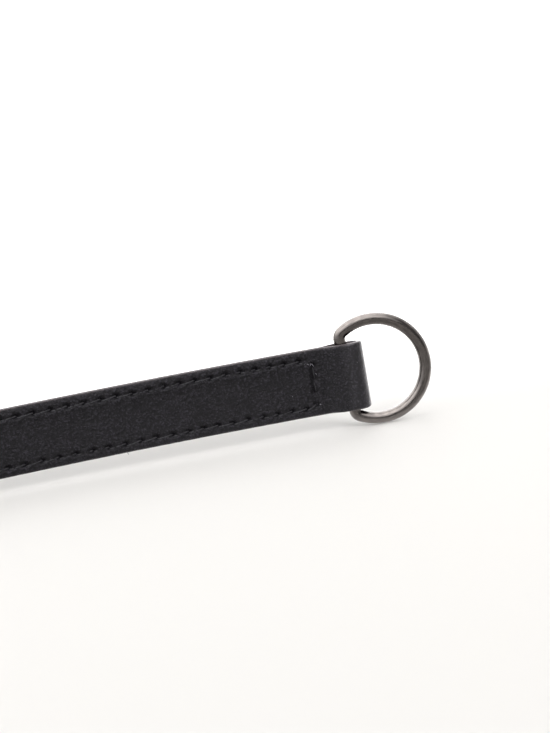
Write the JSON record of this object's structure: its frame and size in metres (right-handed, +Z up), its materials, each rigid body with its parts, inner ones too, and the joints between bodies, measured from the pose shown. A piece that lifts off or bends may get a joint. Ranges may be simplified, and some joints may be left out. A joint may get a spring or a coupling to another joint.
{
  "type": "belt",
  "caption": "Narrow stitched leather belt standing on its edge in an open bend, with a swinging D-ring at one end and a bare hook plate at the other.",
  "frame": {"origin": "under the middle of the belt's box, on the surface that it stands on", "axes": "+Z up across the strap's width; the run with the D-ring lies along X with the ring at its +X end and its outer face towards -Y; the belt is longest along X"},
  "size_m": [0.4602, 0.2938, 0.0334],
  "materials": {
    "leather": "fine-grained black, semi-matt",
    "black_nickel": "polished dark nickel plating"
  },
  "bodies": {
    "belt": {"strap": "leather", "hook_plate": "black_nickel"},
    "ring": {"d_ring": "black_nickel"}
  },
  "joints": [
    {"name": "ring_swing", "type": "hinge", "parent": "belt", "child": "ring", "pos_m": [0.20477, -0.12626, 0.0162], "axis": [-0.0576, 0, 0.9983], "range_deg": [-165, 165]}
  ]
}
